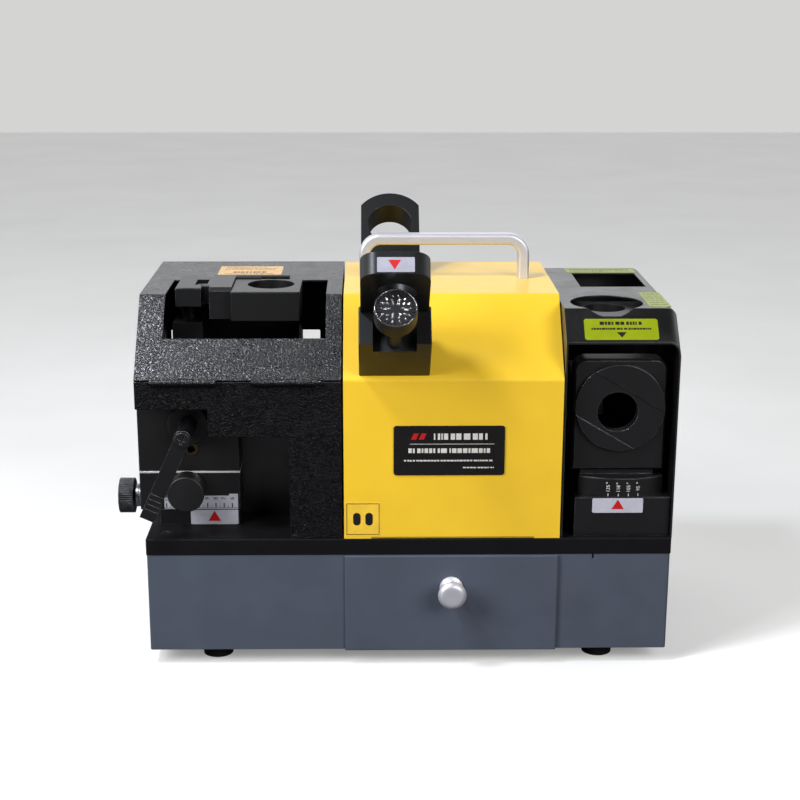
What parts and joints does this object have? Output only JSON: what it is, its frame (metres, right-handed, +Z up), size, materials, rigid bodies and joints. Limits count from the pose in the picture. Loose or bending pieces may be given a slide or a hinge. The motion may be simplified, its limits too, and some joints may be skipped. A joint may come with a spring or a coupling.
{
  "type": "drill bit sharpener",
  "caption": "Bench grinder that sharpens twist drills on the right and screw taps on the left, with a central motor under a yellow cover, a carry handle, a setting gauge and a drawer base",
  "frame": {"origin": "centre of the base footprint, on the table the feet stand on", "axes": "+X to the right seen from the front, +Y towards the back, +Z up"},
  "size_m": [0.4042, 0.251, 0.3254],
  "materials": {
    "powder_grey": "satin powder coat",
    "deck_black": "satin black",
    "yellow_paint": "smooth gloss",
    "crinkle_black": "hammered powder coat",
    "sheet_black": "fine texture",
    "black_oxide": "blackened, satin",
    "bright_steel": "ground",
    "steel": "machined",
    "zinc": "zinc plated",
    "anodised": "satin anodised",
    "black_anodised": "black anodised",
    "scale_silver": "brushed, printed",
    "cast_grey": "cast",
    "end_bell": "die cast",
    "laminations": "stacked laminations",
    "abrasive": "abrasive coat",
    "brass": "turned",
    "rubber": "moulded",
    "black_plastic": "moulded",
    "rocker_plastic": "moulded",
    "nylon": "moulded nylon",
    "capacitor_can": "drawn can",
    "plate_black": "printed plate"
  },
  "bodies": {
    "frame": {"rubber_feet": "rubber", "foot_screws": "zinc", "base_box": "powder_grey", "base_plate": "deck_black", "plate_screws": "black_oxide", "drawer_guides": "nylon", "switch_frame": "black_plastic", "power_inlet": "black_plastic", "run_capacitor": "capacitor_can", "motor_cradle": "cast_grey", "cradle_screws": "zinc", "motor_housing": "cast_grey", "stator_core": "laminations", "motor_end_bells": "end_bell", "motor_bearings": "steel", "motor_cover": "yellow_paint", "m4_screws": "zinc", "carry_handle": "anodised", "name_plate": "plate_black", "tap_cover": "crinkle_black", "hinge_pins": "black_oxide", "wheel_guard": "sheet_black", "tap_base": "black_oxide", "index_plate": "scale_silver", "drill_cover": "sheet_black", "top_seat": "black_anodised", "seat_base": "black_oxide", "pointer_plate": "scale_silver", "gauge_block": "black_anodised", "chuck_ring": "black_anodised"},
    "drawer": {"drawer_tray": "powder_grey", "drawer_front": "powder_grey", "drawer_knob": "anodised", "knob_screw": "zinc"},
    "rocker": {"power_rocker": "rocker_plastic"},
    "rotor": {"motor_shaft": "steel", "rotor_core": "laminations", "tap_wheel": "abrasive", "drill_wheel": "abrasive", "wheel_flanges": "steel", "wheel_nuts": "zinc"},
    "lid": {"tap_lid": "crinkle_black"},
    "tap_carriage": {"tap_slide": "black_oxide", "scale_strip": "scale_silver", "ground_strip": "bright_steel", "tap_head": "black_anodised", "oil_bush": "brass"},
    "thumbscrew": {"feed_screw": "black_oxide"},
    "lock": {"tap_lock_knob": "black_plastic"},
    "lever": {"lever_hub": "black_oxide", "swing_lever": "black_oxide", "lever_screw": "black_oxide"},
    "tap_riser": {"tap_column": "black_oxide", "tap_holder": "black_anodised", "holder_clip": "black_oxide", "spring_fingers": "black_oxide"},
    "seat": {"seat_swivel": "black_oxide"},
    "disc": {"seat_disc": "black_oxide"},
    "gauge": {"gauge_slide": "black_anodised"},
    "gauge_clamp": {"gauge_knob": "black_plastic"}
  },
  "joints": [
    {"name": "drawer_slide", "type": "slide", "parent": "frame", "child": "drawer", "axis": [0, -1, 0], "range_m": [0, 0.12]},
    {"name": "rocker_tilt", "type": "hinge", "parent": "frame", "child": "rocker", "pos_m": [-0.15, 0.0916, 0.05], "axis": [1, 0, 0], "range_deg": [0, 15]},
    {"name": "rotor_spin", "type": "hinge", "parent": "frame", "child": "rotor", "pos_m": [0, 0.01, 0.165], "axis": [1, 0, 0], "continuous": true},
    {"name": "lid_hinge", "type": "hinge", "parent": "frame", "child": "lid", "pos_m": [-0.12, -0.0952, 0.215], "axis": [1, 0, 0], "range_deg": [0, 115]},
    {"name": "carriage_slide", "type": "slide", "parent": "frame", "child": "tap_carriage", "axis": [1, 0, 0], "range_m": [-0.002, 0.008]},
    {"name": "feed_screw_turn", "type": "hinge", "parent": "tap_carriage", "child": "thumbscrew", "pos_m": [-0.206, -0.044, 0.1155], "axis": [1, 0, 0], "range_deg": [-481, 1921]},
    {"name": "tap_lock_turn", "type": "hinge", "parent": "tap_carriage", "child": "lock", "pos_m": [-0.162, -0.07, 0.126], "axis": [0, -1, 0], "range_deg": [0, 120]},
    {"name": "lever_swing", "type": "hinge", "parent": "tap_carriage", "child": "lever", "pos_m": [-0.1596, -0.06, 0.176], "axis": [0, -1, 0], "range_deg": [-30, 30]},
    {"name": "riser_lift", "type": "slide", "parent": "tap_carriage", "child": "tap_riser", "axis": [0, 0, 1], "range_m": [-0.0031, 0.0031]},
    {"name": "point_angle_swivel", "type": "hinge", "parent": "frame", "child": "seat", "pos_m": [0.1505, -0.045, 0.13], "axis": [0, 0, 1], "range_deg": [-11.5, 8.5]},
    {"name": "seat_disc_turn", "type": "hinge", "parent": "seat", "child": "disc", "pos_m": [0.1505, -0.08, 0.1928], "axis": [0, -1, 0], "range_deg": [-10, 10]},
    {"name": "gauge_slide_move", "type": "slide", "parent": "frame", "child": "gauge", "axis": [0, 0.666, 0.7459], "range_m": [0, 0.008]},
    {"name": "gauge_knob_turn", "type": "hinge", "parent": "gauge", "child": "gauge_clamp", "pos_m": [-0.0108, -0.13883, 0.27372], "axis": [0, -0.7459, 0.666], "range_deg": [-90, 180]}
  ],
  "couplings": [
    {"joint": "feed_screw_turn", "follows": "carriage_slide", "rad_per_m": 4188.8},
    {"joint": "riser_lift", "follows": "lever_swing", "m_per_rad": -0.00573}
  ]
}
